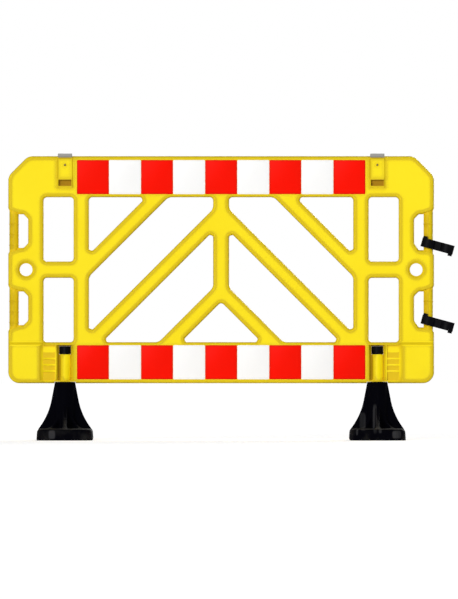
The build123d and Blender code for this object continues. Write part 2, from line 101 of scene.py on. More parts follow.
WHITE_LIGHT = (1.0, 1.0, 1.0, 1.0)

# The layer that Weighted Normal reads, and its mark for a strong face, which is negative for a weak one
RANK_LAYER = "__mod_weightednormals_faceweight"
STRONG_FACE = 16384

# Places that the panel's painted shade follows: distances from the middle, heights, and heights from a
# bar's middle
SOCKET_X = 0.55
RIBS_X = 0.606
GROOVE_X = 0.69
BAR_X = 0.7295
BAR_HEIGHTS = (0.464, 0.736)
UNDER_GRIPS = (0.021, -0.0165, -0.054)

# A Span is a ramp's two ends and, where they aren't 0 and 1, its results there. For a noise it is the
# repeats to a metre and the octaves, and for a finish's grain it is the repeats of its two noises.
# A Relief is a bump's step in metres and the share of it that shows.
Colour = tuple[float, float, float, float]
Span = tuple[float, ...]
Relief = tuple[float, float]


class Side(Enum):
    """The two ends of the barricade, as the sign of X."""

    LEFT = -1
    RIGHT = 1

    @property
    def word(self) -> str:
        """The side's name as the solids spell it."""
        return self.name.lower()


class Face(Enum):
    """The two faces of the panel, as the sign of Y."""

    FRONT = -1
    REAR = 1


class Rail(Enum):
    """The panel's two rails."""

    TOP = "top"
    BOTTOM = "bottom"


class SheetColour(Enum):
    """The two colours of the reflective tiles."""

    RED = "red"
    WHITE = "white"


class Level(Enum):
    """The two heights at which the hand holes and the links sit."""

    UPPER = "upper"
    LOWER = "lower"


class Slot(Enum):
    """The record's material slots."""

    PANEL = "panel_yellow"
    RED = "sheeting_red"
    WHITE = "sheeting_white"
    RUBBER = "foot_rubber"
    PLASTIC = "black_plastic"
    SCREW = "screw_black"


@dataclass(frozen=True)
class Smear:
    """A soft-edged patch of painted light, shade on the panel and glints on the feet, by its centre and
    half sizes as seen from the front.
    """

    x: float
    z: float
    half_width: float
    half_height: float
    share: float = 1.0


def at_ends(x: float, heights: Iterable[float], half_width: float, half_height: float, share: float = 1.0,
            shift: float = 0.0) -> tuple[Smear, ...]:
    """The same patch at both ends of the barricade and at each height, moved to the right by a shift."""
    places = [(side.value * x + shift, z) for side in Side for z in heights]
    return tuple(Smear(*place, half_width, half_height, share) for place in places)


# Shader helpers


class Net:
    """A node tree, with short ways to add nodes to it."""

    def __init__(self, tree: NodeTree) -> None:
        """Takes the tree that gets the nodes."""
        self.tree = tree

    def feed(self, node: Node, inputs: dict[Any, Any]) -> Node:
        """Fills a node's inputs.

        Args:
            node: The node.
            inputs: Values or output sockets by input name or number.

        Returns:
            The same node.
        """
        for key, value in inputs.items():
            if isinstance(value, NodeSocket):
                self.tree.links.new(value, node.inputs[key])
            else:
                node.inputs[key].default_value = value
        return node

    def add(self, kind: str, inputs: dict[Any, Any] | None = None, **settings: Any) -> Node:
        """Adds a node.

        Args:
            kind: The node's type name.
            inputs: Values or output sockets by input name or number.
            **settings: Properties of the node itself, which are set first.

        Returns:
            The new node.
        """
        node = self.tree.nodes.new(kind)
        for name, value in settings.items():
            setattr(node, name, value)
        return self.feed(node, inputs or {})

    def own(self, kind: str) -> Node:
        """The node of a type that the tree started with."""
        return next(node for node in self.tree.nodes if node.type == kind)

    def calc(self, operation: str, *terms: Any) -> NodeSocket:
        """The result of a Math operation on terms in the node's order."""
        return self.add("ShaderNodeMath", dict(enumerate(terms)), operation=operation).outputs[0]

    def times(self, first: NodeSocket, second: Any) -> NodeSocket:
        """The product of two values."""
        return self.calc("MULTIPLY", first, second)

    def merge(self, operation: str, first: NodeSocket, second: NodeSocket) -> Any:
        """The outputs of a Vector Math operation on two vectors."""
        return self.add("ShaderNodeVectorMath", {0: first, 1: second}, operation=operation).outputs

    def split(self, vector: NodeSocket) -> Any:
        """The X, Y and Z of a vector."""
        return self.add("ShaderNodeSeparateXYZ", {0: vector}).outputs

    def ramp(self, value: NodeSocket, low: float, high: float, start: float = 0.0,
             end: float = 1.0) -> NodeSocket:
        """A value mapped smoothly, so that low gives start and high gives end."""
        inputs = {"Value": value, "From Min": low, "From Max": high, "To Min": start, "To Max": end}
        return self.add("ShaderNodeMapRange", inputs, interpolation_type="SMOOTHSTEP").outputs[0]

    def mix(self, share: NodeSocket, first: Any, second: Any) -> NodeSocket:
        """Two colours mixed by the share of the second."""
        return self.add("ShaderNodeMix", {0: share, 6: first, 7: second}, data_type="RGBA").outputs[2]

    def noise(self, vector: NodeSocket, scale: Any, detail: float) -> NodeSocket:
        """A noise by its repeats to a metre and its octaves."""
        inputs = {"Vector": vector, "Scale": scale, "Detail": detail}
        return self.add("ShaderNodeTexNoise", inputs).outputs[0]

    def bump(self, height: NodeSocket, relief: Relief, **below: NodeSocket) -> NodeSocket:
        """The normal of a height, on the Normal below it where one is given."""
        inputs = {"Height": height, "Distance": relief[0], "Strength": relief[1], **below}
        return self.add("ShaderNodeBump", inputs).outputs[0]


class Group(Net):
    """A node group under way, which works on coordinates and gives masks and values."""

    VALUE = "NodeSocketFloat"
    VECTOR = "NodeSocketVector"

    def __init__(self, name: str, inputs: dict[str, str], *outputs: str) -> None:
        """Starts the group.

        Args:
            name: Its name.
            inputs: The types of its inputs by name, besides the Vector that every group takes.
            *outputs: The names of the values that it gives.
        """
        super().__init__(bpy.data.node_groups.new(name, "ShaderNodeTree"))
        for socket, kind in {"Vector": self.VECTOR, **inputs}.items():
            self.tree.interface.new_socket(socket, in_out="INPUT", socket_type=kind)
        for socket in outputs:
            self.tree.interface.new_socket(socket, in_out="OUTPUT", socket_type=self.VALUE)
        self.given = self.tree.nodes.new("NodeGroupInput").outputs

    def close(self, **results: NodeSocket) -> NodeTree:
        """Wires the results to the group's outputs and gives its tree."""
        self.feed(self.tree.nodes.new("NodeGroupOutput"), results)
        return self.tree


class Effects:
    """The surface effects that several finishes share, each built once as a node group."""

    GRAIN_DETAIL = 3.0
    DRIFT_DETAIL = 4.0
    BEVEL_SAMPLES = 16
    BAND_TURN = (0.9995, 0.9965)
    RUB_TURN = (0.995, 0.86)
    RUB_NOISE = (45.0, 5.0)
    RUB_BREAKS = (0.38, 0.66)
    DUST_NOISE = (22.0, 6.0)
    DUST_PATCHES = (0.4, 0.72)
    SMEAR_POWER = 4.0
    SMEAR_RIM = (1.0, 0.15)
    SEAM_SPAN = (0.03, 0.1, 1.0, 0.0)

    def __init__(self) -> None:
        """Builds the groups."""
        self.grain = self.mould_grain()
        self.rub = self.rubbed_edges()
        self.dust = self.ground_dust()
        self.smear = self.soft_patch()
        self.comb = self.honeycomb()

    def mould_grain(self) -> NodeTree:
        """Builds the fine grain of a mould's surface, and the slow drift of tone over a large moulding.

        Returns:
            The group, which gives Height and Tone.
        """
        group = Group("mould_grain", {"Scale": Group.VALUE, "Drift": Group.VALUE}, "Height", "Tone")
        height = group.noise(group.given["Vector"], group.given["Scale"], self.GRAIN_DETAIL)
        tone = group.noise(group.given["Vector"], group.given["Drift"], self.DRIFT_DETAIL)
        return group.close(Height=height, Tone=tone)

    def rubbed_edges(self) -> NodeTree:
        """Builds a soft band along edges, which the yellow moulding darkens as painted shade, and the
        broken stretches of it that handling has rubbed.

        Returns:
            The group, which gives Band, for painted shade, and Mask, for wear.
        """
        group = Group("rubbed_edges", {"Width": Group.VALUE}, "Band", "Mask")
        bevel = group.add("ShaderNodeBevel", {"Radius": group.given["Width"]}, samples=self.BEVEL_SAMPLES)
        plain = group.add("ShaderNodeNewGeometry").outputs["Normal"]
        turn = group.merge("DOT_PRODUCT", bevel.outputs[0], plain)["Value"]
        edge = group.ramp(turn, *self.RUB_TURN)
        broken = group.ramp(group.noise(group.given["Vector"], *self.RUB_NOISE), *self.RUB_BREAKS)
        return group.close(Band=group.ramp(turn, *self.BAND_TURN), Mask=group.times(edge, broken))

    def ground_dust(self) -> NodeTree:
        """Builds dust that gathers towards the ground in soft patches.

        Returns:
            The group, which gives Mask.
        """
        group = Group("ground_dust", {"Reach": Group.VALUE}, "Mask")
        height = group.split(group.given["Vector"])["Z"]
        low = group.ramp(group.calc("DIVIDE", height, group.given["Reach"]), 1.0, 0.0)
        patches = group.ramp(group.noise(group.given["Vector"], *self.DUST_NOISE), *self.DUST_PATCHES)
        return group.close(Mask=group.times(low, patches))

    def soft_patch(self) -> NodeTree:
        """Builds one patch with soft edges over X and Z, the shape of each patch of painted light.

        Returns:
            The group, which gives Mask, 1 inside the patch.
        """
        group = Group("smear", {"Centre": Group.VECTOR, "Half": Group.VECTOR}, "Mask")
        away = group.merge("SUBTRACT", group.given["Vector"], group.given["Centre"])[0]
        share = group.split(group.merge("DIVIDE", away, group.given["Half"])[0])
        sizes = [group.calc("ABSOLUTE", share[axis]) for axis in ("X", "Z")]
        powers = [group.calc("POWER", size, self.SMEAR_POWER) for size in sizes]
        return group.close(Mask=group.ramp(group.calc("ADD", *powers), *self.SMEAR_RIM))

    def honeycomb(self) -> NodeTree:
        """Builds the seams of a honeycomb of sealed cells.

        Returns:
            The group, which gives Seam, 1 on a seam.
        """
        group = Group("honeycomb", {"Cell": Group.VALUE}, "Seam")
        parts = group.split(group.given["Vector"])
        across = group.calc("DIVIDE", parts["X"], group.given["Cell"])
        upward = group.calc("DIVIDE", parts["Y"], group.times(group.given["Cell"], sqrt(3)))
        squares = []
        sides = []
        for shift in (0.0, 0.5):
            aside, above = (self.from_centre(group, value, shift) for value in (across, upward))
            tall = group.times(above, sqrt(3))
            squares.append(group.calc("MULTIPLY_ADD", tall, tall, group.times(aside, aside)))
            sides.append(group.calc("SUBTRACT", 0.5, aside))
        lead = group.calc("SUBTRACT", *squares)
        nearer = group.calc("LESS_THAN", lead, 0.0)
        side = group.add("ShaderNodeMix", {0: nearer, 2: sides[1], 3: sides[0]}).outputs[0]
        slant = group.times(group.calc("ABSOLUTE", lead), 0.5)
        return group.close(Seam=group.ramp(group.calc("MINIMUM", side, slant), *self.SEAM_SPAN))

    @staticmethod
    def from_centre(group: Group, value: NodeSocket, shift: float) -> NodeSocket:
        """The distance from the middle of the repeat that a value falls in."""
        within = group.calc("FRACT", group.calc("ADD", value, shift))
        return group.calc("ABSOLUTE", group.calc("SUBTRACT", within, 0.5))


class Finish:
    """What every finish has: a name, a specular level, and its grain's and drift's repeats to a metre."""

    name: str
    specular: float
    grain: Span


class Surface(Net):
    """A material under way: its shader, its Object coordinates and the effects on it."""

    def __init__(self, finish: Finish, effects: Effects) -> None:
        """Starts the material.

        Args:
            finish: The finish that it shows.
            effects: The shared node groups.
        """
        self.material = bpy.data.materials.new(finish.name)
        self.material.use_nodes = True
        super().__init__(self.material.node_tree)
        self.effects = effects
        self.shader = self.own("BSDF_PRINCIPLED")
        self.shader.inputs["Specular IOR Level"].default_value = finish.specular
        self.place = self.add("ShaderNodeTexCoord").outputs["Object"]
        scale, drift = finish.grain
        self.grain = self.effect(effects.grain, Scale=scale, Drift=drift)

    def effect(self, group: NodeTree, **inputs: Any) -> Any:
        """The outputs of a group that is placed on the Object coordinates, or on the Vector given."""
        node = self.add("ShaderNodeGroup", node_tree=group)
        return self.feed(node, {"Vector": self.place, **inputs}).outputs

    def rubbed(self, width: float) -> NodeSocket:
        """The mask of the edges that handling has rubbed, over a width."""
        return self.effect(self.effects.rub, Width=width)["Mask"]

    def smears(self, patches: Iterable[Smear]) -> NodeSocket:
        """Lays several patches of painted light over each other.

        Args:
            patches: The patches.

        Returns:
            The strongest patch's share at each point.
        """
        total: Any = 0.0
        for patch in patches:
            centre = (patch.x, 0.0, patch.z)
            half = (patch.half_width, 1.0, patch.half_height)
            mask = self.effect(self.effects.smear, Centre=centre, Half=half)["Mask"]
            total = self.calc("MAXIMUM", self.times(mask, patch.share), total)
        return total

    def close(self, colour: NodeSocket, gloss: NodeSocket, normal: NodeSocket) -> Material:
        """Feeds the shader and gives the finished material."""
        self.feed(self.shader, {"Base Color": colour, "Roughness": gloss, "Normal": normal})
        return self.material


# Finishes


@dataclass(frozen=True)
class YellowMoulding(Finish):
    """Yellow moulded plastic: faint grain, drifting tone, painted shade along edges, in recesses and on the
    edge bars, a parting line.
    """

    name: str = "yellow_moulding"
    colour: Colour = (0.935, 0.745, 0.009, 1.0)
    deep: Colour = (0.915, 0.715, 0.008, 1.0)
    pale: Colour = (0.96, 0.80, 0.15, 1.0)
    # The next four colours are painted shade: along edges, on recess floors and edge bars, in the deepest
    # pockets, and in the socket trenches, lines and bar halves.
    edge: Colour = (0.66, 0.48, 0.009, 1.0)
    floor: Colour = (0.72, 0.50, 0.008, 1.0)
    pit: Colour = (0.34, 0.185, 0.001, 1.0)
    grime: Colour = (0.34, 0.20, 0.001, 1.0)
    soil: Colour = (0.42, 0.30, 0.06, 1.0)
    specular: float = 0.06
    grain: Span = (700.0, 5.0)
    tone: Span = (0.35, 0.7)
    gloss: Span = (0.3, 0.75, 0.38, 0.5)
    relief: Relief = (0.00025, 0.25)
    rub_width: float = 0.003
    rub_share: float = 0.12
    # The band of painted shade along edges: its width and share.
    band_width: float = 0.022
    band_share: float = 0.95
    soil_reach: float = 0.34
    soil_share: float = 0.15
    seam_width: float = 0.0006
    seam_relief: Relief = (0.0004, 0.6)
    # Where painted shade falls on flat floors, pockets, bars and trenches, by facing and depth.
    flat_facing: Span = (0.8, 0.95)
    floor_depth: Span = (0.0195, 0.016)
    pit_depth: float = 0.0115
    bar_depth: float = 0.018
    crevice_depth: Span = (0.018, 0.0135)
    # Painted shade on the edge bars: the whole of each left bar, and more on the left half of each right
    # bar.
    bars: tuple[Smear, ...] = tuple(
        bar for z in BAR_HEIGHTS
        for bar in (Smear(-BAR_X, z, 0.0175, 0.066), Smear(BAR_X, z, 0.0175, 0.066, 0.45),
                    Smear(BAR_X - 0.008, z, 0.0115, 0.066)))
    # Places where the painted edge shade is left off.
    unedged: tuple[Smear, ...] = (
        *at_ends(RIBS_X, (0.27,), 0.031, 0.07), *at_ends(GROOVE_X, (0.34,), 0.062, 0.011),
        *at_ends(SOCKET_X, (0.258,), 0.015, 0.05, shift=0.008),
        *at_ends(SOCKET_X, (0.955,), 0.034, 0.04, 0.45))
    # Places where the painted shade on recess floors is left off.
    bare_floors: tuple[Smear, ...] = (
        *at_ends(RIBS_X, (0.319,), 0.026, 0.012),
        *(Smear(BAR_X + 0.011, z, 0.0105, 0.066, 0.75) for z in BAR_HEIGHTS))
    # Painted shade in the trench left of each socket tube.
    crevices: tuple[Smear, ...] = at_ends(SOCKET_X, (0.256,), 0.0065, 0.056, 0.75, shift=-0.02)
    # Painted shade lines: left of each lamp pad, under each lamp flange, and along each lower corner's
    # groove.
    stains: tuple[Smear, ...] = (
        *at_ends(SOCKET_X, (0.955,), 0.005, 0.04, 0.35, shift=-0.0255),
        *at_ends(SOCKET_X, (0.9925,), 0.026, 0.004, 0.5),
        *at_ends(GROOVE_X, (0.34,), 0.075, 0.0055, 0.4))
    # Painted shade on the left half of each edge bar, and dark spots under its grips.
    bar_grime: tuple[Smear, ...] = (
        *at_ends(BAR_X, BAR_HEIGHTS, 0.011, 0.066, 0.22, shift=-0.007),
        *at_ends(BAR_X, [z + rise for z in BAR_HEIGHTS for rise in UNDER_GRIPS], 0.009, 0.011, 0.36,
                 shift=-0.008))

    def material(self, effects: Effects) -> Material:
        """Builds the material.

        Args:
            effects: The shared node groups.

        Returns:
            The material.
        """
        net = Surface(self, effects)
        tone = net.grain["Tone"]
        base = net.mix(net.ramp(tone, *self.tone), self.colour, self.deep)
        worn = net.mix(net.times(net.rubbed(self.rub_width), self.rub_share), base, self.pale)
        # Painted shade: a darker band along the moulding's edges, left off at some places.
        band = net.effect(effects.rub, Width=self.band_width)["Band"]
        open_edges = net.calc("SUBTRACT", self.band_share, net.smears(self.unedged))
        edge_shaded = net.mix(net.times(band, net.calc("MAXIMUM", open_edges, 0.0)), worn, self.edge)
        # Painted shade on the edge bars, recess floors and pockets.
        depth = net.calc("ABSOLUTE", net.split(net.place)["Y"])
        slim = net.calc("LESS_THAN", depth, self.bar_depth)
        bars = net.times(net.smears(self.bars), slim)
        bar_shaded = net.times(net.smears(self.bar_grime), slim)
        toned = net.mix(bar_shaded, self.deepened(net, depth, bars, edge_shaded), self.grime)
        # Painted shade in the socket trenches, beside the lamp pads, under the flanges and in the grooves.
        crevices = net.times(net.smears(self.crevices), net.ramp(depth, *self.crevice_depth))
        stains = net.calc("MAXIMUM", crevices, net.smears(self.stains))
        line_shaded = net.mix(stains, toned, self.grime)
        soil = net.effect(effects.dust, Reach=self.soil_reach)["Mask"]
        soiled = net.mix(net.times(soil, self.soil_share), line_shaded, self.soil)
        grained = net.bump(net.grain["Height"], self.relief)
        seam = net.ramp(depth, 0.0, self.seam_width)
        normal = net.bump(seam, self.seam_relief, Normal=grained)
        return net.close(soiled, net.ramp(tone, *self.gloss), normal)

    def deepened(self, net: Surface, depth: NodeSocket, bars: NodeSocket, base: NodeSocket) -> NodeSocket:
        """Paints shade on the edge bars, on the floors of recesses and, darkest, in the deepest pockets.

        Args:
            net: The material under way.
            depth: The distance from the parting plane.
            bars: The mask of the painted shade on the edge bars.
            base: The colour of the open faces.

        Returns:
            The colour with the painted shade.
        """
        normal = net.add("ShaderNodeNewGeometry").outputs["True Normal"]
        flat = net.ramp(net.calc("ABSOLUTE", net.split(normal)["Y"]), *self.flat_facing)
        floor_shade = net.times(flat, net.ramp(depth, *self.floor_depth))
        shaded = net.times(floor_shade, net.calc("SUBTRACT", 1.0, net.smears(self.bare_floors)))
        low = net.calc("MAXIMUM", shaded, bars)
        pit = net.times(flat, net.calc("LESS_THAN", depth, self.pit_depth))
        return net.mix(pit, net.mix(low, base, self.floor), self.pit)


@dataclass(frozen=True)
class ReflectiveTile(Finish):
    """Reflective sheeting: a honeycomb of cells under a clear face, and a darker border round each tile."""

    name: str
    colour: Colour
    seam: Colour
    border: Colour
    specular: float = 0.025
    grain: Span = (350.0, 9.0)
    tone: Span = (0.35, 0.8, 0.0, 0.15)
    gloss: Span = (0.3, 0.75, 0.4, 0.52)
    relief: Relief = (0.00008, 0.2)
    cell: float = 0.0042
    cell_relief: Relief = (0.00012, 0.35)
    seam_share: float = 0.35
    border_span: Span = (0.002925, 0.0065, 1.0, 0.0)
    border_share: float = 0.8

    def material(self, effects: Effects, width: float, height: float) -> Material:
        """Builds the material.

        Args:
            effects: The shared node groups.
            width: A tile's width.
            height: A tile's height.

        Returns:
            The material.
        """
        net = Surface(self, effects)
        tone = net.grain["Tone"]
        parts = net.split(net.add("ShaderNodeUVMap", uv_map="tile").outputs[0])
        margins = []
        for axis, length in (("X", width), ("Y", height)):
            middle = net.calc("ABSOLUTE", net.calc("SUBTRACT", parts[axis], 0.5))
            margins.append(net.times(net.calc("SUBTRACT", 0.5, middle), length))
        edge = net.ramp(net.calc("MINIMUM", *margins), *self.border_span)
        flat = net.add("ShaderNodeUVMap", uv_map="cells").outputs[0]
        comb = net.effect(effects.comb, Vector=flat, Cell=self.cell)["Seam"]
        inner = net.times(comb, net.calc("SUBTRACT", 1.0, edge))
        celled = net.mix(net.times(inner, self.seam_share), self.colour, self.seam)
        toned = net.mix(net.ramp(tone, *self.tone), celled, self.border)
        bordered = net.mix(net.times(edge, self.border_share), toned, self.border)
        raised = net.bump(inner, self.cell_relief)
        normal = net.bump(net.grain["Height"], self.relief, Normal=raised)
        return net.close(bordered, net.ramp(tone, *self.gloss), normal)


@dataclass(frozen=True)
class CrumbRubber(Finish):
    """Black recycled rubber: pressed crumbs, grey scuffs and streaks, painted glints at fixed spots, dust
    below, and paler level tops for dust and a painted sheen.
    """

    name: str = "crumb_rubber"
    colour: Colour = (0.0004, 0.0004, 0.0016, 1.0)
    crumb: Colour = (0.0022, 0.0022, 0.0034, 1.0)
    scuff: Colour = (0.06, 0.06, 0.064, 1.0)
    # Dust, and on level tops also a painted sheen.
    dust: Colour = (0.045, 0.044, 0.042, 1.0)
    specular: float = 0.015
    grain: Span = (420.0, 16.0)
    gloss: Span = (0.3, 0.7, 0.62, 0.86)
    relief: Relief = (0.0008, 0.4)
    crumb_span: Span = (0.5, 0.72)
    crumb_lift: float = 0.5
    streak_stretch: tuple[float, float, float] = (1.0, 1.0, 0.16)
    streak_noise: Span = (34.0, 5.0)
    streak_span: Span = (0.6, 0.78)
    streak_tone: Span = (0.42, 0.62)
    streak_share: float = 0.35
    rub_width: float = 0.005
    rub_share: float = 0.6
    dust_reach: float = 0.06
    dust_share: float = 0.35
    # Faces that look up get settled dust with a painted sheen.
    level_facing: Span = (0.8, 0.98)
    settled_tone: Span = (0.3, 0.7, 0.25, 0.8)
    scuff_facing: Span = (0.1, 0.5)
    scuff_patches: Span = (0.32, 0.55, 0.45, 1.0)
    # Painted glints: grey patches at fixed spots on the webs and rim, on faces that look to the front or
    # back.
    scuffs: tuple[Smear, ...] = (
        Smear(0.541, 0.075, 0.008, 0.055, 0.4), Smear(0.498, 0.066, 0.012, 0.034, 0.42),
        Smear(0.558, 0.042, 0.006, 0.018, 0.4), Smear(0.477, 0.031, 0.004, 0.014, 0.4),
        Smear(0.616, 0.021, 0.017, 0.015, 0.55), Smear(-0.594, 0.021, 0.013, 0.017, 0.55))

    def material(self, effects: Effects) -> Material:
        """Builds the material.

        Args:
            effects: The shared node groups.

        Returns:
            The material.
        """
        net = Surface(self, effects)
        tone = net.grain["Tone"]
        crumbs = net.ramp(net.grain["Height"], *self.crumb_span)
        base = net.mix(crumbs, self.colour, self.crumb)
        drawn = net.add("ShaderNodeMapping", {"Vector": net.place, "Scale": self.streak_stretch})
        streak = net.noise(drawn.outputs[0], *self.streak_noise)
        streaks = net.times(net.ramp(streak, *self.streak_span), net.ramp(tone, *self.streak_tone))
        streaked = net.mix(net.times(streaks, self.streak_share), base, self.scuff)
        lean = net.split(net.add("ShaderNodeTexCoord").outputs["Normal"])
        facing = net.ramp(net.calc("ABSOLUTE", lean["Y"]), *self.scuff_facing)
        patchy = net.times(facing, net.ramp(streak, *self.scuff_patches))
        glinted = net.mix(net.times(net.smears(self.scuffs), patchy), streaked, self.scuff)
        rubbed = net.mix(net.times(net.rubbed(self.rub_width), self.rub_share), glinted, self.scuff)
        low = net.times(net.effect(effects.dust, Reach=self.dust_reach)["Mask"], self.dust_share)
        # Level tops paler: settled dust and a painted sheen together.
        tops_dust_and_sheen = net.times(net.ramp(lean["Z"], *self.level_facing), net.ramp(tone, *self.settled_tone))
        dust_and_sheen = net.mix(net.calc("MAXIMUM", low, tops_dust_and_sheen), rubbed, self.dust)
        lift = net.calc("MULTIPLY_ADD", crumbs, self.crumb_lift, tone)
        return net.close(dust_and_sheen, net.ramp(net.grain["Height"], *self.gloss), net.bump(lift, self.relief))


@dataclass(frozen=True)
class BlackPlastic(Finish):
    """Black moulded plastic with a fine grain and edges rubbed to grey, bleached above a height.

    The height given here is above the whole barricade.
    """

    name: str = "black_plastic_grain"
    colour: Colour = (0.001, 0.001, 0.0018, 1.0)
    worn: Colour = (0.013, 0.013, 0.015, 1.0)
    bleached: Colour = (0.325, 0.32, 0.307, 1.0)
    bleach_height: Span = (2.0, 2.1)
    specular: float = 0.035
    grain: Span = (900.0, 26.0)
    tone: Span = (0.45, 0.85, 0.0, 0.25)
    gloss: Span = (0.3, 0.75, 0.4, 0.58)
    relief: Relief = (0.0002, 0.3)
    rub_width: float = 0.002
    rub_share: float = 0.5

    def material(self, effects: Effects) -> Material:
        """Builds the material.

        Args:
            effects: The shared node groups.

        Returns:
            The material.
        """
        net = Surface(self, effects)
        tone = net.grain["Tone"]
        toned = net.mix(net.ramp(tone, *self.tone), self.colour, self.worn)
        rubbed = net.mix(net.times(net.rubbed(self.rub_width), self.rub_share), toned, self.worn)
        weather = net.ramp(net.split(net.place)["Z"], *self.bleach_height)
        colour = net.mix(weather, rubbed, self.bleached)
        return net.close(colour, net.ramp(tone, *self.gloss), net.bump(net.grain["Height"], self.relief))


@dataclass(frozen=True)
class BlackenedSteel(Finish):
    """Blackened steel of the lamp screws, bright where a key has rubbed it."""

    name: str = "blackened_steel"
    colour: Colour = (0.12, 0.085, 0.022, 1.0)
    bright: Colour = (0.2, 0.17, 0.12, 1.0)
    metallic: float = 0.85
    specular: float = 0.5
    grain: Span = (2500.0, 300.0)
    gloss: Span = (0.3, 0.75, 0.34, 0.55)
    relief: Relief = (0.00004, 0.3)
    rub_width: float = 0.0004

    def material(self, effects: Effects) -> Material:
        """Builds the material.

        Args:
            effects: The shared node groups.

        Returns:
            The material.
        """
        net = Surface(self, effects)
        net.shader.inputs["Metallic"].default_value = self.metallic
        colour = net.mix(net.rubbed(self.rub_width), self.colour, self.bright)
        gloss = net.ramp(net.grain["Tone"], *self.gloss)
        return net.close(colour, gloss, net.bump(net.grain["Height"], self.relief))


TILES = {
    SheetColour.RED: ReflectiveTile(
        "red_reflective", colour=(0.955, 0.006, 0.001, 1.0), seam=(0.86, 0.012, 0.004, 1.0),
        border=(0.70, 0.012, 0.003, 1.0)),
    SheetColour.WHITE: ReflectiveTile(
        "white_reflective", colour=(0.955, 0.955, 0.95, 1.0), seam=(0.86, 0.87, 0.88, 1.0),
        border=(0.89, 0.89, 0.88, 1.0)),
}


# Mesh helpers


def merged_copy(node: str) -> BMesh:
    """Copies a solid's mesh with its triangles joined up.

    Args:
        node: The solid's name.

    Returns:
        The copy.
    """
    bm = bmesh.new()
    bm.from_mesh(frame["nodes"][node].data)
    bmesh.ops.remove_doubles(bm, verts=bm.verts, dist=MERGE_DISTANCE)
    return bm


def islands(elements: Iterable[Any], neighbours: Callable[[Any], Iterable[Any]]) -> Iterator[set]:
    """Parts elements into groups that hang together.

    Args:
        elements: The elements.
        neighbours: Gives an element's neighbours.

    Yields:
        Each group.
    """
    done: set = set()
    for start in elements:
        if start in done:
            continue
        group = {start}
        waiting = [start]
        while waiting:
            fresh = set(neighbours(waiting.pop())) - group
            group |= fresh
            waiting += fresh
        done |= group
        yield group


def in_order(sequence: Any, elements: Iterable[Any]) -> list[Any]:
    """Some of a mesh's vertices or edges in the order of their sequence, so that every run agrees."""
    sequence.index_update()
    return sorted(elements, key=attrgetter("index"))


def level_neighbours(face: BMFace) -> list[BMFace]:
    """The faces next to a face that lie in its plane."""
    level = [edge for edge in face.edges if edge.calc_face_angle(pi) < FLAT_LIMIT]
    return [other for edge in level for other in edge.link_faces]


def flats(bm: BMesh) -> Iterator[tuple[set[BMFace], set[BMEdge], list[BMEdge]]]:
    """Finds the flat faces that a mesh's parts make up.

    Args:
        bm: The mesh.

    Yields:
        Each flat's parts, all their edges, and the edges round its rim.
    """
    for region in islands(bm.faces, level_neighbours):
        edges = {edge for part in region for edge in part.edges}
        yield region, edges, [edge for edge in edges if not region.issuperset(edge.link_faces)]


def is_one_loop(rim: list[BMEdge]) -> bool:
    """Whether edges make one closed loop.

    Args:
        rim: The edges, which make closed loops.

    Returns:
        True for one loop, False for more.
    """
    around: dict[BMVert, list[BMVert]] = {}
    for edge in rim:
        for vert in edge.verts:
            around.setdefault(vert, []).append(edge.other_vert(vert))
    return len(next(islands(around, around.__getitem__))) == len(around) == len(rim)


def join_flats(bm: BMesh) -> None:
    """Joins the triangles of every flat face that has no hole in it.

    Args:
        bm: The mesh.
    """
    inner: list[BMEdge] = []
    for _, edges, rim in flats(bm):
        if is_one_loop(rim):
            inner += edges.difference(rim)
    bmesh.ops.dissolve_edges(bm, edges=in_order(bm.edges, inner), use_verts=False)


def flat_copy(node: str) -> BMesh:
    """Copies a solid's mesh with the triangles of its flat faces made one.

    Args:
        node: The solid's name.

    Returns:
        The copy.
    """
    bm = merged_copy(node)
    join_flats(bm)
    return bm


def sharp_edges(bm: BMesh, angle: float) -> list[BMEdge]:
    """The edges that turn by more than an angle."""
    return [edge for edge in bm.edges if edge.calc_face_angle(0.0) > angle]


def round_edges(bm: BMesh, edges: list[BMEdge], radius: float, segments: int) -> None:
    """Rounds edges."""
    bmesh.ops.bevel(bm, geom=edges, offset=radius, offset_type="OFFSET", segments=segments, profile=0.5,
                    affect="EDGES", clamp_overlap=False, material=-1)


def shade(bm: BMesh, angle: float) -> None:
    """Shades a mesh smooth, apart from edges that turn by more than an angle.

    Args:
        bm: The mesh.
        angle: The angle.
    """
    bm.normal_update()
    for edge in bm.edges:
        edge.smooth = edge.calc_face_angle(0.0) < angle
    for face in bm.faces:
        face.smooth = True


def rank_faces(bm: BMesh, broad: float, slim: float) -> None:
    """Ranks faces for the weighted normals by the width of their flats, and parts broad flats that meet.

    Args:
        bm: The mesh.
        broad: The width from which a flat keeps its own normal.
        slim: The width below which a strip follows its neighbours.
    """
    rank = bm.faces.layers.int.new(RANK_LAYER)
    for region, _, rim in flats(bm):
        width = 2 * sum(part.calc_area() for part in region) / sum(edge.calc_length() for edge in rim)
        for part in region:
            part[rank] = STRONG_FACE if width > broad else -STRONG_FACE if width < slim else 0
    for edge in sharp_edges(bm, FLAT_LIMIT):
        if all(part[rank] == STRONG_FACE for part in edge.link_faces):
            edge.smooth = False


def add_object(name: str, data: Any) -> Object:
    """Adds an object to the scene.

    Args:
        name: Its name.
        data: Its mesh, camera or lamp.

    Returns:
        The object, at the origin.
    """
    thing = bpy.data.objects.new(name, data)
    bpy.context.scene.collection.objects.link(thing)
    return thing


def add_mesh(bm: BMesh, name: str) -> Object:
    """Adds a mesh to the scene.

    Args:
        bm: The mesh, which is used up.
        name: The name of the object and of its mesh.

    Returns:
        The object, at the origin.
    """
    mesh = bpy.data.meshes.new(name)
    bm.to_mesh(mesh)
    bm.free()
    return add_object(name, mesh)


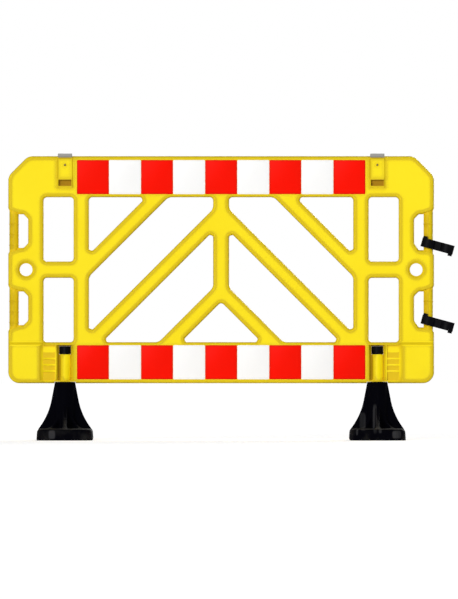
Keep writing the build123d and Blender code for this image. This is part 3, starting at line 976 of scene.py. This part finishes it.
def finish_piece(bm: BMesh, name: str, material: Material, body: str, slot: Slot, *nodes: str) -> Object:
    """Makes a mesh a piece of the object.

    Args:
        bm: The mesh, which is used up.
        name: The piece's name.
        material: Its finish.
        body: The body that it moves with.
        slot: The record's slot for its finish; not used.
        *nodes: The solids that it stands for.

    Returns:
        The piece.
    """
    piece = add_mesh(bm, name)
    piece.data.materials.append(material)
    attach(piece, body)
    if nodes:
        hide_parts(*nodes)
    LOG.info("%s: %d faces on %s", name, len(piece.data.polygons), body)
    return piece


def weigh_normals(piece: Object, ranked: bool = False) -> None:
    """Turns the normals of a piece's small rounded strips towards its large flat faces.

    Args:
        piece: The piece.
        ranked: Whether its faces have ranks.
    """
    weighted = piece.modifiers.new("weighted", "WEIGHTED_NORMAL")
    weighted.keep_sharp = True
    weighted.use_face_influence = ranked


def finish_moulding(bm: BMesh, *details: Any) -> None:
    """Shades a mesh with rounded edges and makes it a piece, with finish_piece's other details."""
    shade(bm, SOFT_CREASE)
    weigh_normals(finish_piece(bm, *details))


# Sub-assemblies


@dataclass
class PanelMoulding:
    """The yellow lattice panel, with rounded window corners and the grips on its edge bars."""

    finish: Material
    half_depth: float = 0.023
    broad_slack: float = 2e-5
    broad_facing: float = 0.99
    corner_radius: float = 0.0042
    corner_segments: int = 4
    corner_share: float = 0.7
    corner_angle: float = radians(20)
    corner_facing: float = 0.9
    shortest_corner: float = 0.008
    parting_slack: float = 1e-5
    crease_angle: float = radians(34)
    bar_zone: float = 0.045
    bar_radius: float = 0.0165
    bar_inset: float = 0.004
    bar_offset: float = 0.136
    grip_pitch: float = 0.0375
    grip_rise: float = 0.0011
    grip_width: float = 0.0048
    grip_count: int = 3
    grip_drop: float = 0.013
    grip_steps: int = 32
    link_margin: float = 0.006
    broad_flat: float = 0.009
    slim_strip: float = 0.004
    notch_reach: float = 0.0385
    notch_rise: float = 0.006
    notch_top: float = 0.0052
    notch_neck: float = 0.0366
    notch_lean: float = 0.15

    def build(self) -> None:
        """Builds and dresses the panel."""
        bm = merged_copy("panel")
        self.close_notches(bm)
        join_flats(bm)
        bmesh.ops.delete(bm, geom=self.broad_faces(bm), context="FACES")
        for radius, edges in self.window_corners(bm).items():
            round_edges(bm, edges, radius, self.corner_segments)
        self.fill_broad_faces(bm)
        shade(bm, self.crease_angle)
        rank_faces(bm, self.broad_flat, self.slim_strip)
        piece = finish_piece(bm, "panel_moulding", self.finish, "panel", Slot.PANEL, "panel")
        weigh_normals(piece, ranked=True)
        self.build_grips()

    def broad_faces(self, bm: BMesh) -> list[BMFace]:
        """The faces in the planes of the panel's front and rear."""
        level = {vert for vert in bm.verts if abs(abs(vert.co.y) - self.half_depth) < self.broad_slack}
        return [face for face in bm.faces
                if abs(face.normal.y) > self.broad_facing and level.issuperset(face.verts)]

    def fill_broad_faces(self, bm: BMesh) -> None:
        """Closes the open rims of the panel's front and rear, so that both are flat and free of creases.

        Args:
            bm: The panel's mesh.
        """
        rims = {vert for edge in bm.edges if edge.is_boundary for vert in edge.verts}
        bmesh.ops.remove_doubles(bm, verts=in_order(bm.verts, rims), dist=self.broad_slack)
        for face in Face:
            rim = [edge for edge in bm.edges if edge.is_boundary and edge.verts[0].co.y * face.value > 0.0]
            bmesh.ops.triangle_fill(bm, edges=rim, use_beauty=True, normal=(0.0, face.value, 0.0))

    def close_notches(self, bm: BMesh) -> None:
        """Draws the walls of the notches in the lower edge in towards the hubs that turn in them.

        Args:
            bm: The panel's mesh.
        """
        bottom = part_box("panel")[0].z
        for side in Side:
            low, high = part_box(f"{side.word}_foot")
            centre = (low.x + high.x) / 2
            for vert in bm.verts:
                aside = vert.co.x - centre
                rise = vert.co.z - bottom
                if rise > self.notch_rise + NEAR or abs(aside) > self.notch_reach + NEAR:
                    continue
                if abs(aside) > self.notch_reach - NEAR:
                    neck = self.notch_neck + self.notch_lean * (self.notch_rise - rise)
                    vert.co.x = centre + (neck if aside > 0 else -neck)
                if rise > self.notch_rise - NEAR:
                    vert.co.z = bottom + self.notch_top

    def window_corners(self, bm: BMesh) -> dict[float, list[BMEdge]]:
        """Finds the edges along the depth of the windows' corners.

        Args:
            bm: The panel's mesh.

        Returns:
            The edges from the parting line to both faces, by the radius that their corners have room for.
        """
        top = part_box("front_top_red_sheeting")[0].z
        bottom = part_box("front_bottom_red_sheeting")[1].z
        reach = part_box("panel")[1].x - self.bar_zone
        corners: dict[BMVert, set[BMEdge]] = {}
        for edge in sharp_edges(bm, self.corner_angle):
            start, end = sorted(edge.verts, key=lambda vert: abs(vert.co.y))
            run = end.co - start.co
            if run.length < self.shortest_corner or abs(run.y) < self.corner_facing * run.length:
                continue
            inside = abs(start.co.x) < reach and bottom < start.co.z < top
            if inside and abs(start.co.y) <= self.parting_slack:
                corners.setdefault(start, set()).update(self.follow(edge, end))
        found: dict[float, list[BMEdge]] = {}
        for chain in corners.values():
            found.setdefault(self.radius_beside(chain), []).extend(in_order(bm.edges, chain))
        return found

    def radius_beside(self, chain: set[BMEdge]) -> float:
        """Finds the radius that a corner has room for, which a short edge beside it limits.

        Args:
            chain: The corner's edges.

        Returns:
            The radius, to a tenth of a millimetre.
        """
        beside = {edge for part in chain for vert in part.verts for edge in vert.link_edges} - chain
        room = self.corner_share * min(edge.calc_length() for edge in beside)
        return round(min(self.corner_radius, room), 4)

    @staticmethod
    def follow(edge: BMEdge, vert: BMVert) -> set[BMEdge]:
        """Finds the edges that carry on from an edge across the strips that meet at its end.

        Args:
            edge: The first edge.
            vert: Its end.

        Returns:
            The edges in line, with the first.
        """
        chain = {edge}
        while len(vert.link_edges) == 4:
            faces = set(edge.link_faces)
            ahead = [other for other in vert.link_edges if not faces.intersection(other.link_faces)]
            if len(ahead) != 1:
                break
            edge = ahead[0]
            chain.add(edge)
            vert = edge.other_vert(vert)
        return chain

    def build_grips(self) -> None:
        """Builds the low ridges round the edge bars, clear of the links on the right."""
        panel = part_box("panel")
        middle = (panel[0].z + panel[1].z) / 2
        bm = bmesh.new()
        for side in Side:
            aside = side.value * (panel[1].x - self.bar_inset - self.bar_radius)
            for level, sign in ((Level.UPPER, 1), (Level.LOWER, -1)):
                link_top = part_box(f"{level.value}_link")[1].z
                lowest = link_top + self.link_margin if side is Side.RIGHT else 0.0
                for number in range(self.grip_count):
                    step = (number - (self.grip_count - 1) / 2) * self.grip_pitch
                    height = middle + sign * self.bar_offset - self.grip_drop + step
                    if height > lowest:
                        self.add_grip(bm, aside, height)
        bmesh.ops.recalc_face_normals(bm, faces=bm.faces)
        shade(bm, self.crease_angle)
        finish_piece(bm, "edge_bar_grips", self.finish, "panel", Slot.PANEL)

    def add_grip(self, bm: BMesh, aside: float, height: float) -> None:
        """Spins one ridge round an edge bar.

        Args:
            bm: The mesh that gets it.
            aside: The bar's place along the panel.
            height: The ridge's height.
        """
        inner = self.bar_radius - self.grip_rise
        outer = self.bar_radius + self.grip_rise
        half = self.grip_width / 2
        profile = ((inner, -half), (self.bar_radius, -half), (outer, -half / 3), (outer, half / 3),
                   (self.bar_radius, half), (inner, half))
        verts = [bm.verts.new((aside + radius, 0.0, height + rise)) for radius, rise in profile]
        edges = [bm.edges.new((verts[index - 1], verts[index])) for index in range(len(verts))]
        bmesh.ops.spin(bm, geom=verts + edges, cent=(aside, 0.0, height), axis=(0.0, 0.0, 1.0), angle=tau,
                       steps=self.grip_steps, use_merge=True)


@dataclass
class Sheeting:
    """The reflective tiles of one colour on one face of one rail."""

    face: Face
    rail: Rail
    colour: SheetColour
    finish: Material
    corner_radius: float = 0.004
    corner_segments: int = 5
    edge_radius: float = 0.0002
    edge_segments: int = 2
    face_slack: float = 1e-6
    crease_angle: float = radians(50)

    @property
    def node(self) -> str:
        """The solid's name."""
        return f"{self.face.name.lower()}_{self.rail.value}_{self.colour.value}_sheeting"

    def build(self) -> None:
        """Builds and dresses the tiles."""
        bm = bmesh.new()
        for name in ("tile", "cells"):
            bm.loops.layers.uv.new(name)
        for low, high in tile_boxes(self.node):
            self.add_tile(bm, low, high)
        shade(bm, self.crease_angle)
        name = self.node.replace("sheeting", "tiles")
        finish_piece(bm, name, self.finish, "panel", Slot[self.colour.name], self.node)

    def add_tile(self, bm: BMesh, low: Vector, high: Vector) -> None:
        """Adds one tile with round corners and a rolled edge.

        Args:
            bm: The mesh that gets it.
            low: The lowest corner of its box.
            high: The highest corner of its box.
        """
        size = high - low
        before = set(bm.faces)
        matrix = Matrix.Translation((low + high) / 2) @ Matrix.Diagonal((*size, 1.0))
        cube = bmesh.ops.create_cube(bm, size=1.0, matrix=matrix)["verts"]
        edges = in_order(bm.edges, {edge for vert in cube for edge in vert.link_edges})
        corners = [edge for edge in edges if abs(edge.verts[0].co.y - edge.verts[1].co.y) > size.y / 2]
        round_edges(bm, corners, self.corner_radius, self.corner_segments)
        outer = low.y if self.face is Face.FRONT else high.y
        top = next(face for face in set(bm.faces) - before
                   if all(abs(vert.co.y - outer) < self.face_slack for vert in face.verts))
        round_edges(bm, list(top.edges), self.edge_radius, self.edge_segments)
        tile, cells = (bm.loops.layers.uv[name] for name in ("tile", "cells"))
        for face in set(bm.faces) - before:
            for loop in face.loops:
                along = loop.vert.co - low
                loop[tile].uv = (along.x / size.x, along.z / size.z)
                loop[cells].uv = (along.x, along.z)


def tile_boxes(node: str) -> list[tuple[Vector, Vector]]:
    """Finds the boxes of a solid's separate tiles.

    Args:
        node: The solid's name.

    Returns:
        The lowest and highest corner of each tile, from left to right.
    """
    bm = merged_copy(node)
    boxes = []
    for island in islands(bm.verts, lambda vert: [edge.other_vert(vert) for edge in vert.link_edges]):
        corners = list(zip(*(vert.co for vert in island)))
        boxes.append((Vector(map(min, corners)), Vector(map(max, corners))))
    bm.free()
    return sorted(boxes, key=lambda box: box[0].x)


@dataclass
class Foot:
    """One rubber foot with its spindle and the cap that holds it in the panel."""

    side: Side
    rubber: Material
    plastic: Material
    voxel: float = 0.003
    smoothing: int = 5
    smoothing_share: float = 0.5
    floor_band: float = 0.0012
    hub_band: float = 0.007
    crease_angle: float = radians(60)
    cap_rise: float = 0.0042
    cap_swell: float = 1.0225
    cap_edge: float = 0.0008
    cap_segments: int = 2
    cap_angle: float = radians(35)

    @property
    def body(self) -> str:
        """The body's name, which is also the foot solid's."""
        return f"{self.side.word}_foot"

    def build(self) -> None:
        """Builds and dresses the foot's pieces."""
        self.build_block()
        self.build_cap()
        spindle = frame["nodes"][f"{self.body}_spindle"]
        spindle.data.materials.clear()
        spindle.data.materials.append(self.plastic)

    def build_cap(self) -> None:
        """Builds the retaining cap, filled out to the window that it sits in, with a raised crown."""
        node = f"{self.side.word}_retaining_cap"
        low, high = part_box(node)
        bm = flat_copy(node)
        crown = [vert for vert in bm.verts if vert.co.z > high.z - NEAR]
        bmesh.ops.translate(bm, verts=crown, vec=(0.0, 0.0, self.cap_rise))
        bmesh.ops.scale(bm, verts=bm.verts, vec=(self.cap_swell, self.cap_swell, 1.0),
                        space=Matrix.Translation((low + high) / -2))
        round_edges(bm, sharp_edges(bm, self.cap_angle), self.cap_edge, self.cap_segments)
        name = f"{self.side.word}_cap_moulding"
        finish_moulding(bm, name, self.plastic, self.body, Slot.PLASTIC, node)

    def build_block(self) -> None:
        """Builds the rubber block: the solid's form with the soft edges of pressed rubber."""
        form = add_mesh(merged_copy(self.body), "foot_form")
        remesh = form.modifiers.new("voxels", "REMESH")
        remesh.mode = "VOXEL"
        remesh.voxel_size = self.voxel
        bm = bmesh.new()
        bm.from_object(form, bpy.context.evaluated_depsgraph_get())
        mesh = form.data
        bpy.data.objects.remove(form)
        bpy.data.meshes.remove(mesh)
        low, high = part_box(self.body)
        soft = [vert for vert in bm.verts if vert.co.z < high.z - self.hub_band]
        for _ in range(self.smoothing):
            bmesh.ops.smooth_vert(bm, verts=soft, factor=self.smoothing_share, use_axis_x=True,
                                  use_axis_y=True, use_axis_z=True)
        for vert in bm.verts:
            vert.co = Vector(min(max(part, start), end) for part, start, end in zip(vert.co, low, high))
            if vert.co.z < self.floor_band:
                vert.co.z = low.z
        shade(bm, self.crease_angle)
        finish_piece(bm, f"{self.body}_block", self.rubber, self.body, Slot.RUBBER, self.body)


@dataclass
class LampSocket:
    """The black insert that takes a warning lamp, and the screw that holds it."""

    side: Side
    plastic: Material
    steel: Material
    insert_edge: float = 0.0012
    insert_segments: int = 3
    insert_angle: float = radians(35)
    head_segments: int = 24
    head_radius: float = 0.004
    head_height: float = 0.0025
    dome: tuple[tuple[float, float], ...] = (
        (0.55, 0.0), (0.8, 0.16), (0.95, 0.4), (1.0, 0.62), (1.0, 1.0))
    shank_radius: float = 0.0025
    key_sides: int = 6
    key_apothem: float = 0.0015
    key_depth: float = 0.0013
    key_draft: float = 0.00008

    def build(self) -> None:
        """Builds and dresses the insert and its screw."""
        node = f"{self.side.word}_lamp_sleeve"
        bm = flat_copy(node)
        round_edges(bm, sharp_edges(bm, self.insert_angle), self.insert_edge, self.insert_segments)
        finish_moulding(bm, f"{self.side.word}_lamp_insert", self.plastic, "panel", Slot.PLASTIC, node)
        self.build_screw()

    def build_screw(self) -> None:
        """Builds the screw: a domed head with a hexagonal key hole, and its shank."""
        node = f"{self.side.word}_lamp_screw"
        low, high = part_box(node)
        length = high.y - low.y
        bm = bmesh.new()
        bmesh.ops.create_circle(bm, cap_ends=True, segments=self.head_segments, radius=self.key_apothem)
        key = next(iter(bm.faces))
        for vert in key.verts:
            around = vert.co.xy.angle_signed(Vector((1.0, 0.0)))
            vert.co *= 1.0 / cos(around % (tau / self.key_sides) - pi / self.key_sides)
            vert.co.z = length
        rim = list(key.edges)
        rings = [(share * self.head_radius, length - drop * self.head_height) for share, drop in self.dome]
        shank = [(self.shank_radius, height) for height in (length - self.head_height, 0.0)]
        for radius, height in rings + shank:
            rim = self.ring(bm, rim, radius, height)
        bmesh.ops.contextual_create(bm, geom=rim)
        bmesh.ops.inset_individual(bm, faces=[key], thickness=self.key_draft, depth=-self.key_depth)
        bmesh.ops.recalc_face_normals(bm, faces=bm.faces)
        middle = (low + high) / 2
        turned = Matrix.Translation((middle.x, high.y, middle.z)) @ Matrix.Rotation(pi / 2, 4, "X")
        bmesh.ops.transform(bm, matrix=turned, verts=bm.verts)
        shade(bm, SOFT_CREASE)
        finish_piece(bm, f"{node}_head", self.steel, "panel", Slot.SCREW, node)

    @staticmethod
    def ring(bm: BMesh, rim: list[BMEdge], radius: float, height: float) -> list[BMEdge]:
        """Extrudes a rim to a circle.

        Args:
            bm: The mesh.
            rim: The open rim's edges.
            radius: The circle's radius.
            height: The circle's height.

        Returns:
            The new rim's edges.
        """
        grown = bmesh.ops.extrude_edge_only(bm, edges=rim)["geom"]
        for vert in (part for part in grown if isinstance(part, BMVert)):
            flat = vert.co.xy.normalized() * radius
            vert.co = (flat.x, flat.y, height)
        return [part for part in grown if isinstance(part, BMEdge) and part.is_boundary]


@dataclass
class Link:
    """One link that hooks the barricade to its neighbour."""

    level: Level
    plastic: Material
    edge_radius: float = 0.0006
    edge_segments: int = 3
    edge_angle: float = radians(50)

    def build(self) -> None:
        """Builds and dresses the link."""
        node = f"{self.level.value}_link"
        bm = flat_copy(node)
        outer = [edge for edge in sharp_edges(bm, self.edge_angle) if edge.is_convex]
        round_edges(bm, outer, self.edge_radius, self.edge_segments)
        finish_moulding(bm, f"{node}_clip", self.plastic, node, Slot.PLASTIC, node)


@dataclass
class Studio:
    """The pale floor, the soft light and the camera."""

    camera_place: tuple[float, float, float] = (0.0276, -60.0, 0.495)
    view_height: float = 2.11
    view_end: float = 200.0
    key_strength: float = 0.82
    key_softness: float = radians(25)
    key_turn: tuple[float, float, float] = (radians(80), 0.0, radians(-17))
    fill_strength: float = 0.75
    fill_softness: float = radians(40)
    fill_turn: tuple[float, float, float] = (radians(70), 0.0, radians(155))
    ambient: float = 0.17
    floor_size: float = 80.0
    floor_colour: Colour = (0.85, 0.85, 0.85, 1.0)
    floor_roughness: float = 0.9
    floor_glow: float = 0.57

    def build(self) -> None:
        """Builds the studio."""
        self.add_camera()
        self.add_light()
        self.add_floor()
        bpy.context.scene.view_settings.view_transform = "Standard"

    def add_camera(self) -> None:
        """Adds the camera, level and square to the panel."""
        data = bpy.data.cameras.new("camera")
        data.lens = data.sensor_width * -self.camera_place[1] / self.view_height
        data.clip_end = self.view_end
        camera = add_object("camera", data)
        camera.location = self.camera_place
        camera.rotation_euler = (pi / 2, 0.0, 0.0)
        bpy.context.scene.camera = camera

    def add_light(self) -> None:
        """Adds a broad key from the front, a softer fill from behind and an even ambient light."""
        self.add_sun("key", self.key_strength, self.key_softness, self.key_turn)
        self.add_sun("fill", self.fill_strength, self.fill_softness, self.fill_turn)
        world = bpy.data.worlds.new("studio")
        world.use_nodes = True
        net = Net(world.node_tree)
        strength = net.calc("MULTIPLY_ADD", self.seen(net), 1.0 - self.ambient, self.ambient)
        net.feed(net.own("BACKGROUND"), {"Color": WHITE_LIGHT, "Strength": strength})
        bpy.context.scene.world = world

    @staticmethod
    def add_sun(name: str, strength: float, softness: float, turn: tuple[float, float, float]) -> None:
        """Adds a distant lamp.

        Args:
            name: Its name.
            strength: The light on a white surface that looks straight at it.
            softness: Its angle across.
            turn: Its rotation.
        """
        data = bpy.data.lights.new(name, "SUN")
        data.energy = strength * pi
        data.angle = softness
        add_object(name, data).rotation_euler = turn

    def add_floor(self) -> None:
        """Adds the floor, which looks white and keeps the object's shadow."""
        bm = bmesh.new()
        bmesh.ops.create_grid(bm, x_segments=1, y_segments=1, size=self.floor_size / 2)
        floor = add_mesh(bm, "floor")
        floor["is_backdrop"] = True
        material = bpy.data.materials.new("pale_floor")
        material.use_nodes = True
        net = Net(material.node_tree)
        net.feed(net.own("BSDF_PRINCIPLED"), {
            "Base Color": self.floor_colour,
            "Roughness": self.floor_roughness,
            "Specular IOR Level": 0.0,
            "Emission Color": WHITE_LIGHT,
            "Emission Strength": net.times(self.seen(net), self.floor_glow),
        })
        floor.data.materials.append(material)

    @staticmethod
    def seen(net: Net) -> NodeSocket:
        """Picks out the rays that look at the background, straight, mirrored or through glass.

        Args:
            net: The tree that gets the nodes.

        Returns:
            A socket that is 1 for those rays and 0 for the others.
        """
        path = net.add("ShaderNodeLightPath").outputs
        mirrored = net.calc("MAXIMUM", path["Is Glossy Ray"], path["Is Transmission Ray"])
        return net.calc("MAXIMUM", path["Is Camera Ray"], mirrored)


def clear_strays() -> None:
    """Removes what a new file starts with."""
    kept = {*frame["nodes"].values(), *frame["bodies"].values()}
    for stray in [thing for thing in bpy.data.objects if thing not in kept]:
        bpy.data.objects.remove(stray)


def main() -> None:
    """Builds the barricade and its studio, and notes the sizes of the solids and of the visual model."""
    logging.basicConfig(level=logging.INFO, format="%(message)s")
    clear_strays()
    solid_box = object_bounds()
    effects = Effects()
    yellow = YellowMoulding().material(effects)
    rubber = CrumbRubber().material(effects)
    plastic = BlackPlastic().material(effects)
    weathered = BlackPlastic("bleached_plastic", bleach_height=(0.985, 1.002)).material(effects)
    steel = BlackenedSteel().material(effects)
    low, high = tile_boxes("front_top_red_sheeting")[0]
    size = high - low
    sheets = {colour: tile.material(effects, size.x, size.z) for colour, tile in TILES.items()}
    Studio().build()
    PanelMoulding(yellow).build()
    for face in Face:
        for rail in Rail:
            for colour in SheetColour:
                Sheeting(face, rail, colour, sheets[colour]).build()
    for side in Side:
        Foot(side, rubber, plastic).build()
        LampSocket(side, weathered, steel).build()
    for level in Level:
        Link(level, plastic).build()
    boxes = [[list(corner) for corner in box] for box in (solid_box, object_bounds())]
    LOG.info("boxes: %s", boxes)


if __name__ == "__main__":
    main()
